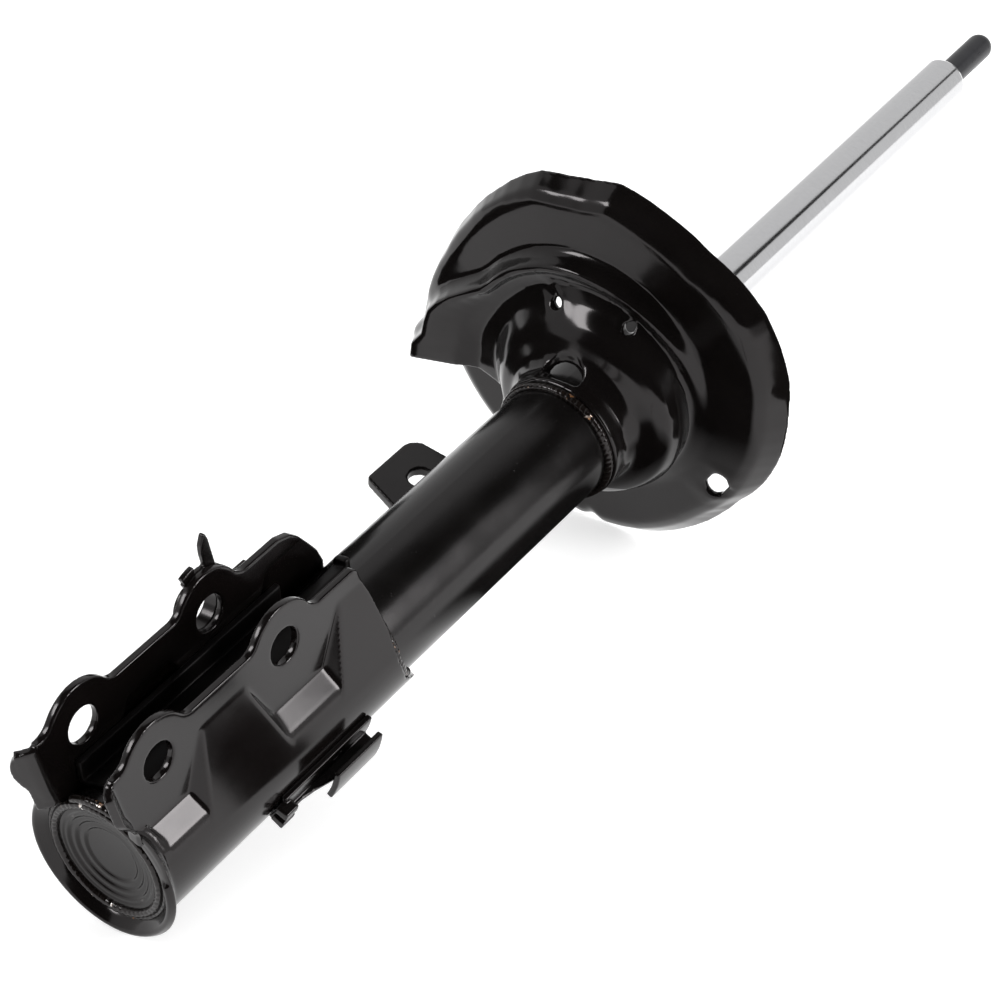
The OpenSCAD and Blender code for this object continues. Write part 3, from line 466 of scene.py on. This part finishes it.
def lip_path():
    """Spline through the lip's points."""
    ring = [
        (LIP_RING_R * math.cos(math.radians(a)), LIP_RING_R * math.sin(math.radians(a)), *LIP_RING)
        for a in LIP_RING_ANGLES
    ]
    rough = LIP_NEAR + ring + LIP_FAR
    fine = []
    for i in range(len(rough) - 1):
        p = [rough[max(0, min(len(rough) - 1, i + k))] for k in (-1, 0, 1, 2)]
        for step in range(LIP_BETWEEN):
            t = step / LIP_BETWEEN
            fine.append([
                0.5 * (2 * b + (c - a) * t + (2 * a - 5 * b + 4 * c - d) * t * t + (3 * b - a - 3 * c + d) * t ** 3)
                for a, b, c, d in zip(*p)
            ])
    fine.append(list(rough[-1]))
    return fine


def lip_mesh():
    """Sheet that runs along the bracket's lower edge and flares outwards."""
    path = lip_path()
    bm = bmesh.new()
    rings = []
    for i, (x, y, z, flare, length) in enumerate(path):
        a, b = path[max(0, i - 1)], path[min(len(path) - 1, i + 1)]
        along = Vector((b[0] - a[0], b[1] - a[1], 0)).normalized()
        out = along.cross(Vector((0, 0, 1)))
        if out.dot(Vector((x * 0.25, y, 0))) < 0:
            out = -out
        bends = [LIP_FLARE * flare * k / LIP_STEPS for k in range(1, LIP_STEPS + 1)]
        middle = [Vector((0, LIP_ABOVE))]
        for angle in bends:
            middle.append(Vector((LIP_BEND * (1 - math.cos(angle)), -LIP_BEND * math.sin(angle))))
        down = Vector((math.sin(bends[-1]), -math.cos(bends[-1])))
        middle.append(middle[-1] + down * length)
        turns = [0] + bends + bends[-1:]
        inner = [m + Vector((-math.cos(t), -math.sin(t))) * LIP_HALF for m, t in zip(middle, turns)]
        outer = [m + Vector((math.cos(t), math.sin(t))) * LIP_HALF for m, t in zip(middle, turns)]
        rings.append([
            bm.verts.new((Vector((x, y, z)) + out * q.x + Vector((0, 0, q.y))) * MM)
            for q in inner + outer[::-1]
        ])
    skin(bm, rings)
    return finished(bm, "lip")


pressed(
    "knuckle_bracket", voxel=0.5 * MM, edge_passes=5, form_passes=6, sheet=BRACKET_SHEET * MM,
    extra=lip_mesh(), warp=trim_near_lip)
pressed("spring_seat", voxel=0.6 * MM, edge_passes=9, form_passes=19, sheet=3.2 * MM, keep=6, least=1.6 * MM)
closing = pressed("closing_plate", voxel=0.5 * MM, edge_passes=6, form_passes=0, sheet=3.0 * MM)
# painted shade: the closing plate gets the darker, duller inner paint, as it sits in shade between the ears
closing.data.materials[0] = MATERIALS["inner_paint"]
pressed("link_bracket", voxel=0.45 * MM, edge_passes=6, form_passes=0, sheet=LINK_SHEET * MM)
pressed("hose_bracket", voxel=0.35 * MM, edge_passes=6, form_passes=0, sheet=2.5 * MM)
pressed("wire_bracket", voxel=0.3 * MM, edge_passes=5, form_passes=0, sheet=2.5 * MM)


# ---------- weld beads ----------

# sides of a bead's section, and the distance between sections in millimetres
BEAD_SIDES = 14
BEAD_STEP = 0.35
# share of the radius by which a bead's width wanders, and the noise's scale per millimetre: slowly and quickly
WANDER_SLOW = (0.10, 0.13)
WANDER_QUICK = (0.05, 0.6)
# depth of a ripple as a share of the radius, how far its front bows, and how its spacing wanders
RIPPLE_DEPTH = 0.09
RIPPLE_BOW = 0.32
RIPPLE_WANDER = (0.10, 0.35)
# how far the rounding of an open bead's ends starts outside of them, in millimetres
BEAD_END = 0.3


def wander(point, kind):
    share, scale = kind
    return share * noise.noise(point * scale)


def bead_mesh(name, path, radius, pitch, closed=False):
    """A bead along a path of points in millimetres, with the overlapping ripples of a weld pool."""
    line = [Vector(p) for p in path]
    if closed:
        line.append(line[0].copy())
    lengths = [0.0]
    for a, b in zip(line, line[1:]):
        lengths.append(lengths[-1] + (b - a).length)
    total = lengths[-1]
    count = max(8, int(total / BEAD_STEP))
    stations = []
    seg = 0
    for i in range(count if closed else count + 1):
        s = total * i / count
        while seg < len(line) - 2 and lengths[seg + 1] < s:
            seg += 1
        t = (s - lengths[seg]) / max(1e-9, lengths[seg + 1] - lengths[seg])
        stations.append((s, line[seg].lerp(line[seg + 1], t)))
    bm = bmesh.new()
    rings = []
    for i, (s, centre) in enumerate(stations):
        ahead = stations[(i + 1) % len(stations)][1] if closed or i + 1 < len(stations) else centre
        behind = stations[i - 1][1] if closed or i > 0 else centre
        along = (ahead - behind).normalized()
        out = Vector((centre.x, centre.y, 0))
        out = (out - along * out.dot(along)).normalized()
        side = along.cross(out).normalized()
        end = 1.0 if closed else min(1, (s + BEAD_END) / radius, (total - s + BEAD_END) / radius)
        wobble = 1 + wander(centre, WANDER_SLOW) + wander(centre, WANDER_QUICK)
        ring = []
        for k in range(BEAD_SIDES):
            angle = 2 * math.pi * k / BEAD_SIDES
            phase = (s / pitch + RIPPLE_BOW * math.cos(angle) + wander(centre, RIPPLE_WANDER)) % 1.0
            ripple = 1 - RIPPLE_DEPTH * phase ** 2
            r = radius * math.sqrt(max(0.05, end)) * wobble * ripple
            ring.append(bm.verts.new((centre + (out * math.cos(angle) + side * math.sin(angle)) * r) * MM))
        rings.append(ring)
    skin(bm, rings, closed)
    mesh = finished(bm, name)
    smooth_shade(mesh)
    return add_piece(name, mesh, "weld_paint")


def arc(radius, height, start, end, step=3.0):
    """Points round Z, from one angle in degrees to another."""
    count = max(2, int(abs(end - start) / step))
    angles = [math.radians(start + (end - start) * i / count) for i in range(count + 1)]
    return [(radius * math.cos(a), radius * math.sin(a), height) for a in angles]


def edge_height(outline, x):
    """Height of the wrap's upper edge at an x."""
    return float(np.interp(-x, [-p[0] for p in outline], [p[1] for p in outline]))


def bracket_edge_path(outline, start, end):
    """Along the wrap's upper edge, a little off the tube and above the edge."""
    radius = TUBE_R + 1.0
    return [
        (x, y, edge_height(outline, x * WRAP_OUT / radius) + 0.9) for x, y, _ in arc(radius, 0, start, end, step=4)
    ]


def link_path(out, back):
    """Up the link bracket's foot."""
    c, s = math.cos(LINK_TURN), math.sin(LINK_TURN)
    x, y = out * s + back * c, -out * c + back * s
    return [(x, y, LINK_LOW + 3), (x, y, LINK_TOP - 2)]


ring_bead = bead_mesh("foot_bead", arc(TUBE_R - 1.2, -TUBE_FOOT, 0, 357), radius=1.75, pitch=2.6, closed=True)
front_bead = bead_mesh("front_foot_bead", arc(TUBE_R + 0.9, -TUBE_FOOT + 0.4, -30, 30), radius=1.75, pitch=2.4)
groove_bead = bead_mesh("groove_bead", arc(TUBE_R + 1.3, -1.7, 38, 322), radius=1.9, pitch=2.9)
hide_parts("base_weld")
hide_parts("base_weld")
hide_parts("base_weld")
near_bead = bead_mesh("near_edge_bead", bracket_edge_path(NEAR_EDGE, 42, 116), radius=1.9, pitch=2.3)
far_bead = bead_mesh("far_edge_bead", bracket_edge_path(FAR_EDGE, -75, -172), radius=1.9, pitch=2.3)
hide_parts("bracket_weld")
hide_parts("bracket_weld")
weld_spot = bead_mesh("weld_spot", bracket_edge_path(NEAR_EDGE, 47, 58), radius=2.4, pitch=1.9)
weld_spot.data.materials[0] = MATERIALS["burnt_weld"]
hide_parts("bracket_weld")
seat_bead = bead_mesh("seat_bead", arc(TUBE_R + 0.7, SEAT_LOW - 1.5, 0, 357), radius=1.9, pitch=2.4, closed=True)
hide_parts("seat_weld")
LINK_FRONT = math.sqrt(TUBE_R ** 2 - LINK_BACK ** 2)
LINK_REAR = math.sqrt(TUBE_R ** 2 - (LINK_BACK + LINK_SHEET) ** 2)
front_link = bead_mesh("link_bead_front", link_path(LINK_FRONT + 0.6, -LINK_BACK + 0.5), radius=1.9, pitch=2.3)
rear_link = bead_mesh(
    "link_bead_rear", link_path(LINK_REAR + 1.0, -LINK_BACK - LINK_SHEET - 0.5), radius=1.9, pitch=2.3)
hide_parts("link_weld")
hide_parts("link_weld")


# ---------- base cap ----------

# radius and height of the cap's pressed rings from the middle outwards, and of its back, in millimetres
CAP_RINGS = [
    (0.001, 0), (11.4, 0.0), (12.4, -0.8), (14.9, -0.7), (15.9, -1.7), (17.9, -1.7), (18.9, -2.6), (20.2, -2.6),
    (21.0, -TUBE_FOOT)
]
CAP_BACK = [(20.0, 0.2), (16.3, 3.2), (0.001, 3.2)]
CAP_EDGE_R = TUBE_R - 2.55
CAP_ROUNDING = 0.7


def rounded_profile(corners, radius, steps=5):
    """The profile with its inner corners rounded."""
    points = [Vector(corners[0])]
    for a, b, c in zip(corners, corners[1:], corners[2:]):
        a, b, c = Vector(a), Vector(b), Vector(c)
        reach = min(radius, (a - b).length * 0.45, (c - b).length * 0.45)
        start, end = b + (a - b).normalized() * reach, b + (c - b).normalized() * reach
        for i in range(steps + 1):
            t = i / steps
            points.append(start * (1 - t) ** 2 + b * 2 * t * (1 - t) + end * t * t)
    points.append(Vector(corners[-1]))
    return points


def make_cap():
    edge = [(CAP_EDGE_R, -TUBE_FOOT), (CAP_EDGE_R, 0.2)]
    profile = rounded_profile(CAP_RINGS + edge + CAP_BACK, CAP_ROUNDING)
    bm = bmesh.new()
    verts = [bm.verts.new((p.x * MM, 0, p.y * MM)) for p in profile]
    edges = [bm.edges.new(pair) for pair in zip(verts, verts[1:])]
    bmesh.ops.spin(bm, geom=verts + edges, cent=(0, 0, 0), axis=(0, 0, 1), angle=2 * math.pi, steps=144)
    bmesh.ops.remove_doubles(bm, verts=bm.verts, dist=0.002 * MM)
    bmesh.ops.recalc_face_normals(bm, faces=bm.faces)
    mesh = finished(bm, "cap_disc")
    smooth_shade(mesh)
    piece = add_piece("cap_disc", mesh, "cap_paint")
    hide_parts("base_cap")


make_cap()

# ---------- stage and light ----------

FLOOR_NORMAL = Vector((0.9876, 0, 0.157)).normalized()
FLOOR_POINT = Vector((-33.9, 0, -5)) * MM
FLOOR_HALF = 6
FLOOR_COLOR = (0.86, 0.86, 0.86, 1)
# light added where the floor is seen, so that it shows white
FLOOR_GLOW = 0.42
WORLD_LEVEL = 0.85


def square(name, half):
    bm = bmesh.new()
    bmesh.ops.create_grid(bm, x_segments=1, y_segments=1, size=half)
    return finished(bm, name)


def mix_shaders(tree, factor, first, second):
    """The material's surface: the first shader where the factor is 0, the second where it is 1."""
    mix = tree.nodes.new("ShaderNodeMixShader")
    for value, socket in zip((factor, first, second), mix.inputs):
        tree.links.new(value, socket)
    tree.links.new(mix.outputs[0], tree.nodes["Material Output"].inputs["Surface"])


def make_floor():
    """White floor, seen through from behind."""
    mesh = square("floor", FLOOR_HALF)
    floor = bpy.data.objects.new("floor", mesh)
    scene.collection.objects.link(floor)
    floor.matrix_world = Matrix.Translation(FLOOR_POINT) @ FLOOR_NORMAL.to_track_quat("Z", "Y").to_matrix().to_4x4()
    mat = bpy.data.materials.new("floor_white")
    mat.use_nodes = True
    tree = mat.node_tree
    shader = tree.nodes["Principled BSDF"]
    shader.inputs["Base Color"].default_value = FLOOR_COLOR
    shader.inputs["Roughness"].default_value = 0.9
    shader.inputs["Emission Color"].default_value = (1, 1, 1, 1)
    path = tree.nodes.new("ShaderNodeLightPath")
    seen = math_node(tree, "MAXIMUM", path.outputs["Is Camera Ray"], path.outputs["Is Glossy Ray"])
    seen = math_node(tree, "MAXIMUM", seen, path.outputs["Is Transmission Ray"])
    glow = math_node(tree, "MULTIPLY", seen, FLOOR_GLOW)
    tree.links.new(glow, shader.inputs["Emission Strength"])
    clear = tree.nodes.new("ShaderNodeBsdfTransparent")
    side = tree.nodes.new("ShaderNodeNewGeometry")
    mix_shaders(tree, side.outputs["Backfacing"], shader.outputs[0], clear.outputs[0])
    mesh.materials.append(mat)


make_floor()


def make_world():
    world = bpy.data.worlds.new("world")
    scene.world = world
    world.use_nodes = True
    sky = world.node_tree.nodes["Background"]
    sky.inputs["Color"].default_value = (1, 1, 1, 1)
    sky.inputs["Strength"].default_value = WORLD_LEVEL


make_world()

# left and right ends of the black card behind the camera, at each height: all in degrees
DARK_CARD = [
    (-88, -80, 160), (-65, -80, 160), (-55, -60, 150), (-45, -34, 145), (-30, -27, 135), (-15, -33, 112), (-5, -35, 96),
    (5, -44, 92), (10, -42, 88), (16, -36, 60), (25, -30, 54), (32, -18, 52), (38, -6, 52), (43, 16, 50), (50, 30, 46),
    (58, 38, 44)
]
CARD_DISTANCE = 4.0
# its faces round a row, and from one height of the list to the next
CARD_COLUMNS = 24
CARD_PARTS = 3


def direction(az, el):
    a, e = math.radians(az), math.radians(el)
    return Vector((math.cos(e) * math.cos(a), math.cos(e) * math.sin(a), math.sin(e)))


def dead_black(name):
    mat = bpy.data.materials.new(name)
    mat.use_nodes = True
    tree = mat.node_tree
    shader = tree.nodes["Principled BSDF"]
    shader.inputs["Base Color"].default_value = (0.02, 0.02, 0.02, 1)
    shader.inputs["Roughness"].default_value = 1.0
    shader.inputs["Specular IOR Level"].default_value = 0.0
    return mat, tree, shader


def place_card(name, mesh, material):
    """A card of the studio, met by reflections only."""
    card = bpy.data.objects.new(name, mesh)
    scene.collection.objects.link(card)
    mesh.materials.append(material)
    card.visible_camera = False
    card.visible_diffuse = False
    card.visible_shadow = False
    return card


def make_card(material):
    """Black card round the camera's side of the room."""
    bm = bmesh.new()
    rows = []
    for low, high in zip(DARK_CARD, DARK_CARD[1:]):
        for k in range(CARD_PARTS):
            t = k / CARD_PARTS
            rows.append([a * (1 - t) + b * t for a, b in zip(low, high)])
    rows.append(list(DARK_CARD[-1]))
    grid = []
    for el, left, right in rows:
        line = []
        for i in range(CARD_COLUMNS + 1):
            az = left + (right - left) * i / CARD_COLUMNS
            line.append(bm.verts.new(direction(az, el) * CARD_DISTANCE))
        grid.append(line)
    for a, b in zip(grid, grid[1:]):
        for i in range(CARD_COLUMNS):
            bm.faces.new((a[i], a[i + 1], b[i + 1], b[i]))
    place_card("dark_card", finished(bm, "dark_card"), material)


CARD_BLACK = dead_black("card_black")[0]
make_card(CARD_BLACK)

# small dark flags for the bracket and the spring seat: a plane's point, its two directions, an outline, in millimetres
FLAGS = {
    "bracket_flag": (
        Vector((-31.7, 118.0, 123.4)), Vector((-0.853, -0.522, 0)), Vector((0.276, -0.452, 0.848)),
        [(-32, -14), (-22, -24), (26, -24), (26, 12), (-20, 13), (-31, 6)]
    ),
    "seat_flag": (
        Vector((40, -147, 168)), Vector((1, 0, 0)), Vector((0, 0, 1)),
        [(-34, -105), (36, -105), (38, 60), (34, 104), (-16, 104), (-22, 130), (-82, 130), (-86, 102), (-124, 98),
         (-124, 66), (-36, 62)]
    ),
    "hub_flag": (
        Vector((0, 110, 340)), Vector((1, 0, 0)), Vector((0, 0, 1)),
        [(-88, 18), (-62, -6), (-22, -8), (-2, -28), (60, -32), (110, -32), (110, 30), (-88, 36)]
    ),
}
# painted shadow: the shade's middle, its half sizes along Z and Y, and the share of them that is fully dark
SHADE_AT = Vector((-32.4, 30, 250)) * MM
SHADE_HALF = (70 * MM, 55 * MM)
SHADE_CORE = 0.55


def make_flag(name):
    at, right, up, outline = FLAGS[name]
    mesh = bpy.data.meshes.new(name)
    mesh.from_pydata([(at + right * u + up * v) * MM for u, v in outline], [], [range(len(outline))])
    place_card(name, mesh, CARD_BLACK)


for flag_name in FLAGS:
    make_flag(flag_name)


def make_shade():
    """Painted shadow: a dark patch with a soft edge, by the floor behind the spring seat, standing for the object's
    shadow on the floor there and met by reflections only.
    """
    mat, tree, shader = dead_black("shade_black")
    at = tree.nodes.new("ShaderNodeTexCoord")
    parts = tree.nodes.new("ShaderNodeSeparateXYZ")
    tree.links.new(at.outputs["Object"], parts.inputs[0])
    across, along = [
        map_range(tree, math_node(tree, "ABSOLUTE", parts.outputs[axis]), (SHADE_CORE, 1), (1, 0)) for axis in range(2)
    ]
    clear = tree.nodes.new("ShaderNodeBsdfTransparent")
    mix_shaders(tree, math_node(tree, "MULTIPLY", across, along), clear.outputs[0], shader.outputs[0])
    shade = place_card("shade", square("shade", 1), mat)
    upright = Matrix.Rotation(math.radians(90), 4, "Y")
    shade.matrix_world = Matrix.Translation(SHADE_AT) @ upright @ Matrix.Diagonal((*SHADE_HALF, 1, 1))


make_shade()


def softbox(name, az, el, distance, size, radiance):
    """A flat lamp in a direction given in degrees, turned to the frame's origin."""
    at = direction(az, el) * distance
    data = bpy.data.lights.new(name, "AREA")
    data.shape = "RECTANGLE"
    data.size, data.size_y = size
    data.energy = radiance * size[0] * size[1] * math.pi
    box = bpy.data.objects.new(name, data)
    scene.collection.objects.link(box)
    box.location = at
    box.rotation_euler = (-at).to_track_quat("-Z", "Y").to_euler()


softbox("key", az=67, el=25, distance=2.5, size=(1.2, 0.75), radiance=16)
softbox("strip", az=-35, el=-28, distance=2.5, size=(0.55, 1.0), radiance=13)
